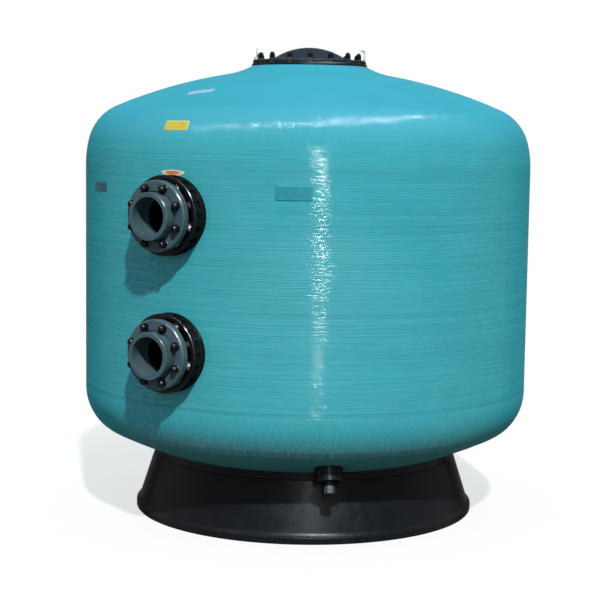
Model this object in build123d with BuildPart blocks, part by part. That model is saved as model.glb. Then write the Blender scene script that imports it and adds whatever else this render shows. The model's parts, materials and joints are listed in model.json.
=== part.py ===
from build123d import *

import os
from math import asin, atan2, cos, degrees, hypot, radians, sin, sqrt

os.makedirs("parts", exist_ok=True)

# Sand filter with a wound tank. Millimetres, +Z up, origin on the floor under the tank's axis.
# The two ports face -Y. An azimuth is counted from the ports' side, anticlockwise seen from above.

# Tank shell, all outside sizes
tank_radius = 800.0
tank_wall = 10.0
straight_bottom_z = 446.0
straight_length = 801.0
shoulder_large_radius = 353.0
shoulder_large_turn = 15.0
shoulder_small_radius = 174.0
crown_slope = 23.3
flare_width = 100.0
flare_radius = 288.0
neck_opening_radius = 196.0
base_large_radius = 173.0
base_large_turn = 37.0
base_small_radius = 123.0
base_crown_slope = 26.6

# Clearances, and how far a cut runs to pass right through a wall
through_cut = 60.0
seat_gap = 0.3
bolt_clearance = 0.6
glue_clearance = 0.15
thread_clearance = 0.06
face_gap = 0.05

# Skirt
skirt_inset = 253.0
skirt_wall = 8.0
skirt_band_height = 26.0
skirt_band_ledge = 2.0
skirt_cone_spread = 55.0
skirt_cone_foot_z = 38.0
skirt_lip_reach = 13.5
skirt_lip_height = 24.0
skirt_lip_width = 20.0
skirt_lip_round = 3.0

# Neck ring and lid
neck_ring_overlap = 12.0
neck_ring_bevel = 4.0
neck_ring_height = 11.75
neck_ring_hold_overlap = 32.0
neck_ring_hold_thickness = 7.0
lid_gasket_bolt_gap = 2.0
lid_gasket_width = 25.0
lid_gasket_thickness = 2.0
lid_setback = 4.0
lid_flange_thickness = 8.0
lid_edge_round = 4.0
lid_shoulder_bolt_gap = 30.0
lid_shoulder_width = 10.0
lid_shoulder_height = 6.0
lid_apron_width = 24.0
lid_dome_foot_height = 11.0
lid_dome_rise = 36.0
lid_wall = 8.0
lid_rim_clearance = 5.0
lid_rim_depth = 12.0
lid_bolt_edge_distance = 16.0
lid_bolt_count = 16
lid_bolt_azimuth = 11.25
lid_stud_radius = 6.0
lid_stud_bury = 20.0
lid_washer_radius = 12.0
lid_washer_thickness = 2.5
lid_nut_flats = 19.0
lid_nut_height = 12.0
lid_nut_dome_radius = 8.6
lid_nut_total_height = 23.0
lid_nut_bore_depth = 16.0
eye_bolt_index = (5, 13)
eye_turns = (-19.0, 40.0)
eye_base_radius = 12.5
eye_base_height = 9.0
eye_ring_radius = 14.5
eye_wire_radius = 3.5
eye_bore_depth = 7.5

# Ports
lower_port_rise = 204.0
upper_port_drop = 152.0
pipe_radius = 62.5
port_stud_flange_gap = 3.0
port_stud_count = 8
port_stud_azimuth = 22.5
port_stud_radius = 8.0
bulkhead_wall = 12.5
bulkhead_reach = 46.0
bulkhead_tail = 26.0
bulkhead_socket_depth = 24.0
inner_flange_edge_distance = 30.0
inner_flange_thickness = 20.0
wall_gasket_edge_distance = 25.0
wall_gasket_thickness = 3.0
collar_wall = 13.0
collar_depth = 48.0
collar_floor = 16.0
collar_recess_edge_distance = 22.0
collar_saddle_depth = 20.0
collar_pocket_count = 20
collar_pocket_depth = 6.0
collar_pocket_width = 21.0
collar_pocket_start = 14.0
collar_pocket_end = 41.0
collar_edge_chamfer = 2.0
clamp_nut_flats = 24.0
clamp_nut_height = 13.0
face_gasket_thickness = 3.0
stub_flange_step = 7.0
stub_flange_thickness = 15.0
stub_wall = 14.5
socket_depth = 69.0
socket_stop = 7.0
stub_edge_chamfer = 2.0
backing_ring_edge_distance = 20.0
backing_ring_slip = 3.5
backing_ring_thickness = 23.0
backing_ring_chamfer = 4.0
port_washer_radius = 14.0
port_washer_thickness = 2.5
cap_nut_radius = 12.0
cap_nut_skirt = 11.0
cap_nut_total_height = 21.0
cap_nut_bore_depth = 14.0
stud_head_flats = 24.0
stud_head_height = 10.0

# Pipes in the tank
pipe_wall = 5.5
elbow_bend_radius = 95.0
elbow_wall = 12.0
elbow_socket_depth = 40.0
fitting_wall = 9.5
riser_length = 178.0
diffuser_socket_depth = 40.0
diffuser_cone_height = 70.0
diffuser_mouth_radius = 150.0
diffuser_wall = 5.0
hub_radius = 95.0
hub_height = 100.0
hub_wall = 10.0
hub_drop = 116.0
hub_neck_height = 30.0
lateral_count = 8
lateral_azimuth = 22.5
lateral_radius = 25.0
lateral_wall = 3.0
lateral_side_gap = 240.0
lateral_socket_radius = 32.0
lateral_socket_reach = 118.0
lateral_slot_end_gap = 40.0
lateral_slot_width = 4.0
lateral_slot_depth = 16.0
lateral_slot_pitch = 42.0
lateral_first_slot = 165.0
leg_radius = 45.0
leg_wall = 6.0
leg_foot_radius = 60.0
leg_foot_height = 12.0

# Drain, along an axis square to the dished bottom
drain_azimuth = 40.5
drain_skirt_gap = 83.0
drain_flange_radius = 47.0
drain_flange_depth = 21.0
drain_stem_radius = 36.0
drain_stem_length = 52.0
drain_bore_radius = 30.0
drain_thread_radius = 38.0
drain_thread_length = 19.0
drain_seal_radius = 49.0
drain_seal_thickness = 3.0
drain_locknut_radius = 58.0
drain_locknut_thickness = 16.0
strainer_wall = 5.0
strainer_length = 75.0
strainer_slot_count = 16
strainer_slot_width = 4.0
strainer_slot_length = 42.0
cap_flange_gap = 0.4
cap_wall = 6.0
cap_rib_count = 24
cap_rib_depth = 2.5
cap_groove_width = 5.0
cap_plate = 4.0
cap_seal_thickness = 2.0
cap_neck_radius = 15.0
cap_neck_length = 14.0
plug_flats = 32.0
plug_head_length = 23.0
plug_shank_radius = 9.0
plug_shank_length = 15.0
plug_seal_radius = 14.5
plug_seal_thickness = 2.0


# Sizes that follow from those above
flare_start_radius = neck_opening_radius + flare_width
skirt_top_radius = tank_radius - skirt_inset
skirt_cone_foot_radius = skirt_top_radius + skirt_cone_spread
skirt_lip_radius = skirt_cone_foot_radius + skirt_lip_reach
neck_ring_radius = neck_opening_radius + neck_ring_overlap
neck_ring_hold_radius = neck_opening_radius + neck_ring_hold_overlap
lid_radius = neck_ring_radius - lid_setback
lid_bolt_circle_radius = lid_radius - lid_bolt_edge_distance
lid_gasket_outer_radius = lid_bolt_circle_radius - lid_stud_radius - lid_gasket_bolt_gap
manhole_radius = lid_gasket_outer_radius - lid_gasket_width
lid_shoulder_radius = lid_bolt_circle_radius - lid_shoulder_bolt_gap
lid_dome_radius = lid_shoulder_radius - lid_shoulder_width - lid_apron_width
water_way_radius = pipe_radius - pipe_wall
bulkhead_radius = pipe_radius + bulkhead_wall
stub_radius = pipe_radius + stub_wall
stub_flange_radius = stub_radius + stub_flange_step
port_stud_circle_radius = stub_flange_radius + port_stud_radius + port_stud_flange_gap
backing_ring_radius = port_stud_circle_radius + backing_ring_edge_distance
backing_ring_bore_radius = stub_radius + backing_ring_slip
collar_recess_radius = port_stud_circle_radius + collar_recess_edge_distance
collar_radius = collar_recess_radius + collar_wall
inner_flange_radius = port_stud_circle_radius + inner_flange_edge_distance
wall_gasket_radius = port_stud_circle_radius + wall_gasket_edge_distance
lateral_reach = tank_radius - lateral_side_gap
hub_bottom_z = straight_bottom_z - hub_drop
drain_reach = skirt_top_radius + drain_skirt_gap
cap_radius = drain_thread_radius + cap_wall


def write(piece, label):
    piece.part.label = label
    export_step(piece.part, f"parts/{label}.step")


def on_arc(centre, radius, slope, side=1):
    """Point of a half section's arc where the skin is tilted by slope from level. side is 1 above, -1 below."""
    return (centre[0] + radius * sin(radians(slope)), centre[1] + side * radius * cos(radians(slope)))


# The crown: straight side, two shoulder arcs, a sphere about the axis and a flare up to the neck
straight_top_z = straight_bottom_z + straight_length
port_heights = {"lower": straight_bottom_z + lower_port_rise, "upper": straight_top_z - upper_port_drop}
shoulder_large_centre = (tank_radius - shoulder_large_radius, straight_top_z)
shoulder_slope = 90 - shoulder_large_turn
shoulder_break = on_arc(shoulder_large_centre, shoulder_large_radius, shoulder_slope)
shoulder_small_centre = on_arc(shoulder_break, -shoulder_small_radius, shoulder_slope)
crown_start = on_arc(shoulder_small_centre, shoulder_small_radius, crown_slope)
crown_radius = crown_start[0] / sin(radians(crown_slope))
crown_centre = on_arc(crown_start, -crown_radius, crown_slope)
flare_slope = degrees(asin(flare_start_radius / crown_radius))
flare_start = on_arc(crown_centre, crown_radius, flare_slope)
flare_centre = on_arc(flare_start, flare_radius, flare_slope)

# The dished bottom: two arcs and a sphere about the axis
base_large_centre = (tank_radius - base_large_radius, straight_bottom_z)
base_slope = 90 - base_large_turn
base_break = on_arc(base_large_centre, base_large_radius, base_slope, -1)
base_small_centre = on_arc(base_break, -base_small_radius, base_slope, -1)
base_crown_start = on_arc(base_small_centre, base_small_radius, base_crown_slope, -1)
base_crown_radius = base_crown_start[0] / sin(radians(base_crown_slope))
base_crown_centre = on_arc(base_crown_start, -base_crown_radius, base_crown_slope, -1)


def flare_point(radius, inset=0.0):
    """Point of the flare at a distance from the axis, on the skin moved into the tank by inset."""
    reach = flare_radius + inset
    return (radius, flare_centre[1] - sqrt(reach**2 - (flare_centre[0] - radius) ** 2))


def base_point(radius, inset=0.0):
    """Point of the bottom's sphere at a distance from the axis, on the skin moved into the tank by inset."""
    reach = base_crown_radius - inset
    return (radius, base_crown_centre[1] - sqrt(reach**2 - radius**2))


def tank_half_section(inset=0.0):
    """Half section of all that the skin encloses, the skin moved into the tank by inset."""
    neck = flare_point(neck_opening_radius, inset)
    flare_reach = flare_radius + inset
    neck_angle = degrees(atan2(neck[1] - flare_centre[1], neck[0] - flare_centre[0]))
    flare_turn = neck_angle % 360 - (270 - flare_slope)
    with BuildSketch(Plane.XZ) as section:
        with BuildLine():
            CenterArc(base_crown_centre, base_crown_radius - inset, -90, base_crown_slope)
            CenterArc(
                base_small_centre, base_small_radius - inset, base_crown_slope - 90, base_slope - base_crown_slope
            )
            CenterArc(base_large_centre, base_large_radius - inset, base_slope - 90, base_large_turn)
            Line((tank_radius - inset, straight_bottom_z), (tank_radius - inset, straight_top_z))
            CenterArc(shoulder_large_centre, shoulder_large_radius - inset, 0, shoulder_large_turn)
            CenterArc(
                shoulder_small_centre,
                shoulder_small_radius - inset,
                shoulder_large_turn,
                shoulder_slope - crown_slope,
            )
            CenterArc(crown_centre, crown_radius - inset, 90 - crown_slope, crown_slope - flare_slope)
            CenterArc(flare_centre, flare_reach, 270 - flare_slope, flare_turn)
            Polyline(neck, (0, neck[1]), base_point(0, inset))
        make_face()
    return section.sketch


def port_face(height, out=0.0):
    """Plane square to a port, out from the tank's side, with X to the right seen from the tank."""
    return Plane(origin=(0, -tank_radius - out, height), x_dir=(1, 0, 0), z_dir=(0, -1, 0))


def port_section(height):
    """Half section plane of a port: X is the distance from the port's axis, Y the distance out of the tank."""
    return Plane(origin=(0, -tank_radius, height), x_dir=(1, 0, 0), z_dir=(0, 0, -1))


def port_axis(height):
    return Axis((0, -tank_radius, height), (0, -1, 0))


port_stud_hole_radius = port_stud_radius + bolt_clearance
neck_top = flare_point(neck_opening_radius)

# Drain axis: it starts on the outside of the dished bottom and points down and out
drain_angle = radians(drain_azimuth - 90)
drain_tilt = asin(drain_reach / base_crown_radius)
drain_start = (
    drain_reach * cos(drain_angle),
    drain_reach * sin(drain_angle),
    base_point(drain_reach)[1],
)
drain_plane = Plane(
    origin=drain_start,
    x_dir=(-sin(drain_angle), cos(drain_angle), 0),
    z_dir=(sin(drain_tilt) * cos(drain_angle), sin(drain_tilt) * sin(drain_angle), -cos(drain_tilt)),
)

# Tank shell: the skin between two half sections, with its neck, port, stud and drain holes
with BuildPart() as tank_shell:
    add(tank_half_section())
    revolve(axis=Axis.Z)
    add(tank_half_section(tank_wall))
    revolve(axis=Axis.Z, mode=Mode.SUBTRACT)
    with BuildSketch(Plane.XY.offset(neck_top[1])):
        Circle(neck_opening_radius)
    extrude(amount=-through_cut, mode=Mode.SUBTRACT)
    for port_height in port_heights.values():
        with BuildSketch(port_face(port_height, tank_wall)):
            Circle(bulkhead_radius + bolt_clearance)
            with PolarLocations(port_stud_circle_radius, port_stud_count, port_stud_azimuth):
                Circle(port_stud_hole_radius)
        extrude(amount=-through_cut, mode=Mode.SUBTRACT)
    with BuildSketch(drain_plane.offset(tank_wall)):
        Circle(drain_stem_radius + bolt_clearance)
    extrude(amount=-through_cut, mode=Mode.SUBTRACT)

# The shell's three bonded pieces: the wound side, up to the end of the first shoulder arc, and two ends
side_bottom = Plane.XY.offset(straight_bottom_z)
side_top = Plane.XY.offset(shoulder_break[1])
with BuildPart() as tank_crown:
    add(tank_shell.part)
    split(bisect_by=side_top, keep=Keep.TOP)
write(tank_crown, "tank_crown")

with BuildPart() as tank_side:
    add(tank_shell.part)
    split(bisect_by=side_top, keep=Keep.BOTTOM)
    split(bisect_by=side_bottom, keep=Keep.TOP)
write(tank_side, "tank_side")

with BuildPart() as tank_bottom:
    add(tank_shell.part)
    split(bisect_by=side_bottom, keep=Keep.BOTTOM)
write(tank_bottom, "tank_bottom")

# Skirt: a band under the dished bottom, a cone and a rolled foot, open below
skirt_top = base_point(skirt_top_radius, -seat_gap)
skirt_top_inside = base_point(skirt_top_radius - skirt_wall, -seat_gap)
skirt_band_foot = (skirt_top_radius, skirt_top[1] - skirt_band_height)
skirt_ledge = (skirt_top_radius + skirt_band_ledge, skirt_band_foot[1] - skirt_band_ledge)
skirt_cone_foot = (skirt_cone_foot_radius, skirt_cone_foot_z)
skirt_lip_top = (skirt_lip_radius - skirt_lip_round, skirt_lip_height)
skirt_floor_inside = skirt_lip_radius - skirt_lip_width
with BuildPart() as base_skirt:
    with BuildSketch(Plane.XZ):
        with BuildLine():
            Polyline(skirt_top_inside, skirt_top, skirt_band_foot, skirt_ledge, skirt_cone_foot)
            TangentArc(
                skirt_cone_foot,
                skirt_lip_top,
                tangent=(skirt_cone_foot[0] - skirt_ledge[0], skirt_cone_foot[1] - skirt_ledge[1]),
            )
            RadiusArc(skirt_lip_top, (skirt_lip_radius, skirt_lip_height - skirt_lip_round), skirt_lip_round)
            Polyline(
                (skirt_lip_radius, skirt_lip_height - skirt_lip_round),
                (skirt_lip_radius, skirt_lip_round),
                (skirt_lip_radius - skirt_lip_round, 0),
                (skirt_floor_inside, 0),
                (skirt_cone_foot_radius - skirt_wall, skirt_cone_foot_z),
                (skirt_ledge[0] - skirt_wall, skirt_ledge[1]),
                skirt_top_inside,
            )
        make_face()
    revolve(axis=Axis.Z)
write(base_skirt, "base_skirt")

# Neck ring: a spool wound into the neck, with blind holes for the lid studs
spool_radius = neck_opening_radius - seat_gap
hold_top = flare_point(neck_ring_hold_radius, tank_wall + seat_gap)
neck_ring_foot_z = hold_top[1] - neck_ring_hold_thickness
neck_ring_top_z = flare_point(neck_ring_radius)[1] + neck_ring_height
neck_bevel_z = (neck_ring_top_z + flare_point(neck_ring_radius)[1]) / 2
stud_hole_bottom_z = neck_ring_top_z - lid_stud_bury - bolt_clearance
with BuildPart() as neck_ring:
    with BuildSketch(Plane.XZ):
        with BuildLine():
            Polyline(
                (manhole_radius, neck_ring_foot_z),
                (manhole_radius, neck_ring_top_z),
                (neck_ring_radius - neck_ring_bevel, neck_ring_top_z),
                (neck_ring_radius, neck_bevel_z),
                flare_point(neck_ring_radius, -seat_gap),
            )
            ThreePointArc(
                flare_point(neck_ring_radius, -seat_gap),
                flare_point((neck_ring_radius + spool_radius) / 2, -seat_gap),
                flare_point(spool_radius, -seat_gap),
            )
            Line(flare_point(spool_radius, -seat_gap), flare_point(spool_radius, tank_wall + seat_gap))
            ThreePointArc(
                flare_point(spool_radius, tank_wall + seat_gap),
                flare_point((spool_radius + neck_ring_hold_radius) / 2, tank_wall + seat_gap),
                hold_top,
            )
            Polyline(hold_top, (neck_ring_hold_radius, neck_ring_foot_z), (manhole_radius, neck_ring_foot_z))
        make_face()
    revolve(axis=Axis.Z)
    with BuildSketch(Plane.XY.offset(neck_ring_top_z)):
        with PolarLocations(lid_bolt_circle_radius, lid_bolt_count, lid_bolt_azimuth - 90):
            Circle(lid_stud_radius + thread_clearance)
    extrude(amount=stud_hole_bottom_z - neck_ring_top_z, mode=Mode.SUBTRACT)
write(neck_ring, "neck_ring")

# Lid gasket, inside the bolt circle
with BuildPart() as lid_gasket:
    with BuildSketch(Plane.XY.offset(neck_ring_top_z)):
        Circle(lid_gasket_outer_radius)
        Circle(manhole_radius, mode=Mode.SUBTRACT)
    extrude(amount=lid_gasket_thickness)
write(lid_gasket, "lid_gasket")

# Lid: flat flange, raised shoulder and hollow dome, with a rim that drops into the manhole
lid_under_z = neck_ring_top_z + lid_gasket_thickness
lid_top_z = lid_under_z + lid_flange_thickness
lid_dome_foot = (lid_dome_radius, lid_top_z + lid_dome_foot_height)
lid_apex_z = lid_dome_foot[1] + lid_dome_rise
lid_rim_radius = manhole_radius - lid_rim_clearance
lid_shoulder_top = (lid_shoulder_radius - lid_shoulder_width, lid_top_z + lid_shoulder_height)
dome_radius = (lid_dome_radius**2 + lid_dome_rise**2) / (2 * lid_dome_rise)
dome_centre = (0, lid_apex_z - dome_radius)
dome_half_angle = degrees(asin(lid_dome_radius / dome_radius))
inner_dome_foot = on_arc(dome_centre, dome_radius - lid_wall, dome_half_angle)
with BuildPart() as lid:
    with BuildSketch(Plane.XZ):
        with BuildLine():
            Polyline(
                (lid_rim_radius, lid_under_z - lid_rim_depth),
                (lid_rim_radius, lid_under_z),
                (lid_radius, lid_under_z),
                (lid_radius, lid_top_z - lid_edge_round),
            )
            RadiusArc(
                (lid_radius, lid_top_z - lid_edge_round), (lid_radius - lid_edge_round, lid_top_z), -lid_edge_round
            )
            Polyline(
                (lid_radius - lid_edge_round, lid_top_z),
                (lid_shoulder_radius, lid_top_z),
                lid_shoulder_top,
                lid_dome_foot,
            )
            CenterArc(dome_centre, dome_radius, 90 - dome_half_angle, dome_half_angle)
            Line((0, lid_apex_z), (0, lid_apex_z - lid_wall))
            CenterArc(dome_centre, dome_radius - lid_wall, 90, -dome_half_angle)
            Polyline(
                inner_dome_foot,
                (lid_rim_radius - lid_wall, lid_under_z),
                (lid_rim_radius - lid_wall, lid_under_z - lid_rim_depth),
                (lid_rim_radius, lid_under_z - lid_rim_depth),
            )
        make_face()
    revolve(axis=Axis.Z)
    with BuildSketch(Plane.XY.offset(lid_under_z)):
        with PolarLocations(lid_bolt_circle_radius, lid_bolt_count, lid_bolt_azimuth - 90):
            Circle(lid_stud_radius + bolt_clearance)
    extrude(amount=lid_flange_thickness, mode=Mode.SUBTRACT)
write(lid, "lid")

# Lid fasteners: eye nuts stand in two of the sixteen places, domed nuts in the others
lid_washer_top_z = lid_top_z + lid_washer_thickness
bolt_angles = [lid_bolt_azimuth - 90 + index * 360 / lid_bolt_count for index in range(lid_bolt_count)]
bolt_points = [
    (lid_bolt_circle_radius * cos(radians(angle)), lid_bolt_circle_radius * sin(radians(angle)))
    for angle in bolt_angles
]
eye_points = [bolt_points[index] for index in eye_bolt_index]
nut_points = [point for index, point in enumerate(bolt_points) if index not in eye_bolt_index]
stud_foot_z = neck_ring_top_z - lid_stud_bury

with BuildPart() as lid_studs:
    with BuildSketch(Plane.XY.offset(stud_foot_z)):
        with Locations(*nut_points):
            Circle(lid_stud_radius)
    extrude(amount=lid_washer_top_z + lid_nut_bore_depth - face_gap - stud_foot_z)
    with BuildSketch(Plane.XY.offset(stud_foot_z)):
        with Locations(*eye_points):
            Circle(lid_stud_radius)
    extrude(amount=lid_washer_top_z + eye_bore_depth - face_gap - stud_foot_z)
write(lid_studs, "lid_studs")

with BuildPart() as lid_washers:
    with BuildSketch(Plane.XY.offset(lid_top_z)):
        with Locations(*bolt_points):
            Circle(lid_washer_radius)
            Circle(lid_stud_radius + bolt_clearance, mode=Mode.SUBTRACT)
    extrude(amount=lid_washer_thickness)
write(lid_washers, "lid_washers")

lid_nut_corner_radius = lid_nut_flats / 2 / cos(radians(30))
with BuildPart() as lid_nuts:
    with BuildSketch(Plane.XY.offset(lid_washer_top_z)):
        with Locations(*nut_points):
            RegularPolygon(lid_nut_corner_radius, 6)
    extrude(amount=lid_nut_height)
    with Locations(*[(x, y, lid_washer_top_z + lid_nut_total_height - lid_nut_dome_radius) for x, y in nut_points]):
        Sphere(lid_nut_dome_radius)
    with BuildSketch(Plane.XY.offset(lid_washer_top_z)):
        with Locations(*nut_points):
            Circle(lid_stud_radius + thread_clearance)
    extrude(amount=lid_nut_bore_depth, mode=Mode.SUBTRACT)
write(lid_nuts, "lid_nuts")

eye_centre_z = lid_washer_top_z + eye_base_height + eye_ring_radius - eye_wire_radius / 2
eye_planes = [
    Plane(origin=(x, y, eye_centre_z), x_dir=(0, 0, 1), z_dir=(cos(radians(turn)), sin(radians(turn)), 0))
    for (x, y), turn in zip(eye_points, eye_turns, strict=True)
]
with BuildPart() as lifting_eyes:
    with BuildSketch(Plane.XY.offset(lid_washer_top_z)):
        with Locations(*eye_points):
            Circle(eye_base_radius)
    extrude(amount=eye_base_height)
    with Locations(*eye_planes):
        Torus(eye_ring_radius, eye_wire_radius)
    with BuildSketch(Plane.XY.offset(lid_washer_top_z)):
        with Locations(*eye_points):
            Circle(lid_stud_radius + thread_clearance)
    extrude(amount=eye_bore_depth, mode=Mode.SUBTRACT)
write(lifting_eyes, "lifting_eyes")

# Ports: distances out from the tank's side
socket_bore_radius = pipe_radius + glue_clearance
gasket_seat_radius = tank_radius - tank_wall - seat_gap
flange_seat_radius = gasket_seat_radius - wall_gasket_thickness - seat_gap
flange_back = tank_radius - flange_seat_radius + inner_flange_thickness
bulkhead_length = flange_back + bulkhead_tail + bulkhead_reach
stub_back = bulkhead_reach + face_gasket_thickness
ring_back = stub_back + stub_flange_thickness
ring_front = ring_back + backing_ring_thickness
washer_front = ring_front + port_washer_thickness
stub_front = stub_back + socket_stop + socket_depth
collar_back_seat = tank_radius + seat_gap
saddle_height = 2 * collar_radius + through_cut


def port_stud_ring():
    return PolarLocations(port_stud_circle_radius, port_stud_count, port_stud_azimuth)


def write_port(name, height):
    """One port's ten pieces, from the inner flange out to the domed nuts."""
    upright = Location((0, 0, height))
    axis = port_axis(height)

    # Flanged pipe piece: the flange seats inside the round wall, the pipe passes through it
    with BuildPart() as inner_flange:
        with BuildSketch(port_face(height, -flange_back)):
            Circle(inner_flange_radius)
        extrude(amount=flange_back)
        with Locations(upright):
            Cylinder(flange_seat_radius, saddle_height, mode=Mode.INTERSECT)
        with BuildSketch(port_face(height, -flange_back - bulkhead_tail)):
            Circle(bulkhead_radius)
        extrude(amount=bulkhead_length)
        with BuildSketch(port_face(height, bulkhead_reach)):
            Circle(water_way_radius)
        extrude(amount=-bulkhead_length, mode=Mode.SUBTRACT)
        with BuildSketch(port_face(height, -flange_back - bulkhead_tail)):
            Circle(socket_bore_radius)
        extrude(amount=bulkhead_socket_depth, mode=Mode.SUBTRACT)
        with BuildSketch(port_face(height)):
            with port_stud_ring():
                Circle(port_stud_hole_radius)
        extrude(amount=-flange_back, mode=Mode.SUBTRACT)
    write(inner_flange, f"{name}_inner_flange")

    with BuildPart() as wall_gasket:
        with BuildSketch(port_face(height)):
            Circle(wall_gasket_radius)
            Circle(bulkhead_radius + bolt_clearance, mode=Mode.SUBTRACT)
            with port_stud_ring():
                Circle(port_stud_hole_radius, mode=Mode.SUBTRACT)
        extrude(amount=-flange_back)
        with Locations(upright):
            Cylinder(gasket_seat_radius, saddle_height, mode=Mode.INTERSECT)
            Cylinder(gasket_seat_radius - wall_gasket_thickness, saddle_height, mode=Mode.SUBTRACT)
    write(wall_gasket, f"{name}_wall_gasket")

    # Clamp collar: saddle back, recessed front and a ring of pockets that leaves lugs for a strap wrench
    with BuildPart() as collar:
        with BuildSketch(port_face(height, -collar_saddle_depth)):
            Circle(collar_radius)
        extrude(amount=collar_depth + collar_saddle_depth)
        chamfer(
            collar.edges().group_by(SortBy.LENGTH)[-1].sort_by(Axis.Y)[0], collar_edge_chamfer
        )
        with BuildSketch(port_face(height, collar_pocket_start)):
            with PolarLocations(collar_radius, collar_pocket_count):
                Rectangle(2 * collar_pocket_depth, collar_pocket_width)
        extrude(amount=collar_pocket_end - collar_pocket_start, mode=Mode.SUBTRACT)
        with BuildSketch(port_face(height, collar_floor)):
            Circle(collar_recess_radius)
        extrude(amount=collar_depth, mode=Mode.SUBTRACT)
        with BuildSketch(port_face(height, -collar_saddle_depth)):
            Circle(bulkhead_radius + bolt_clearance)
            with port_stud_ring():
                Circle(port_stud_hole_radius)
        extrude(amount=collar_floor + collar_saddle_depth, mode=Mode.SUBTRACT)
        with Locations(upright):
            Cylinder(collar_back_seat, saddle_height, mode=Mode.SUBTRACT)
    write(collar, f"{name}_collar")

    with BuildPart() as clamp_nuts:
        with BuildSketch(port_face(height, collar_floor)):
            with port_stud_ring():
                RegularPolygon(clamp_nut_flats / 2 / cos(radians(30)), 6)
                Circle(port_stud_radius + thread_clearance, mode=Mode.SUBTRACT)
        extrude(amount=clamp_nut_height)
    write(clamp_nuts, f"{name}_clamp_nuts")

    with BuildPart() as studs:
        with BuildSketch(port_face(height, -flange_back)):
            with port_stud_ring():
                RegularPolygon(stud_head_flats / 2 / cos(radians(30)), 6)
        extrude(amount=-stud_head_height)
        with BuildSketch(port_face(height, -flange_back)):
            with port_stud_ring():
                Circle(port_stud_radius)
        extrude(amount=flange_back + washer_front + cap_nut_bore_depth - face_gap)
    write(studs, f"{name}_studs")

    with BuildPart() as face_gasket:
        with BuildSketch(port_face(height, bulkhead_reach)):
            Circle(bulkhead_radius)
            Circle(water_way_radius, mode=Mode.SUBTRACT)
        extrude(amount=face_gasket_thickness)
    write(face_gasket, f"{name}_face_gasket")

    # Glue socket: flange, body and bore with a stop for the pipe's end
    with BuildPart() as stub:
        with BuildSketch(port_section(height)):
            with BuildLine():
                Polyline(
                    (water_way_radius, stub_back),
                    (stub_flange_radius, stub_back),
                    (stub_flange_radius, ring_back),
                    (stub_radius, ring_back),
                    (stub_radius, stub_front - stub_edge_chamfer),
                    (stub_radius - stub_edge_chamfer, stub_front),
                    (socket_bore_radius, stub_front),
                    (socket_bore_radius, stub_back + socket_stop),
                    (water_way_radius, stub_back + socket_stop),
                    close=True,
                )
            make_face()
        revolve(axis=axis)
    write(stub, f"{name}_stub")

    with BuildPart() as backing_ring:
        with BuildSketch(port_section(height)):
            with BuildLine():
                Polyline(
                    (backing_ring_bore_radius, ring_back),
                    (backing_ring_radius, ring_back),
                    (backing_ring_radius, ring_front - backing_ring_chamfer),
                    (backing_ring_radius - backing_ring_chamfer, ring_front),
                    (backing_ring_bore_radius, ring_front),
                    close=True,
                )
            make_face()
        revolve(axis=axis)
        with BuildSketch(port_face(height, ring_back)):
            with port_stud_ring():
                Circle(port_stud_hole_radius)
        extrude(amount=backing_ring_thickness, mode=Mode.SUBTRACT)
    write(backing_ring, f"{name}_backing_ring")

    with BuildPart() as washers:
        with BuildSketch(port_face(height, ring_front)):
            with port_stud_ring():
                Circle(port_washer_radius)
                Circle(port_stud_hole_radius, mode=Mode.SUBTRACT)
        extrude(amount=port_washer_thickness)
    write(washers, f"{name}_washers")

    # Domed nut: a plain skirt, an arc up to the crown and a blind bore over the stud's end
    dome_height = cap_nut_total_height - cap_nut_skirt
    nut_dome_radius = (cap_nut_radius**2 + dome_height**2) / (2 * dome_height)
    with BuildPart() as cap_nut:
        with BuildSketch(Plane.XZ):
            with BuildLine():
                Polyline(
                    (0, cap_nut_total_height),
                    (0, cap_nut_bore_depth),
                    (port_stud_radius + thread_clearance, cap_nut_bore_depth),
                    (port_stud_radius + thread_clearance, 0),
                    (cap_nut_radius, 0),
                    (cap_nut_radius, cap_nut_skirt),
                )
                RadiusArc((cap_nut_radius, cap_nut_skirt), (0, cap_nut_total_height), -nut_dome_radius)
            make_face()
        revolve(axis=Axis.Z)
    with BuildPart(port_face(height, washer_front)) as cap_nuts:
        with port_stud_ring():
            add(cap_nut.part)
    write(cap_nuts, f"{name}_cap_nuts")


for port_name, port_height in port_heights.items():
    write_port(port_name, port_height)

# Pipes in the tank: the inlet turns up to the diffuser, the outlet comes up from the collector
pipe_start_y = -tank_radius + flange_back + bulkhead_tail - bulkhead_socket_depth + face_gap
pipe_bore_radius = pipe_radius - pipe_wall
fitting_radius = socket_bore_radius + fitting_wall


def write_side_pipe(label, height):
    """Level pipe from an inner flange to the elbow on the tank's axis."""
    with BuildPart() as side_pipe:
        with BuildSketch(Plane(origin=(0, pipe_start_y, height), x_dir=(1, 0, 0), z_dir=(0, 1, 0))):
            Circle(pipe_radius)
            Circle(pipe_bore_radius, mode=Mode.SUBTRACT)
        extrude(amount=-elbow_bend_radius - face_gap - pipe_start_y)
    write(side_pipe, label)


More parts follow.
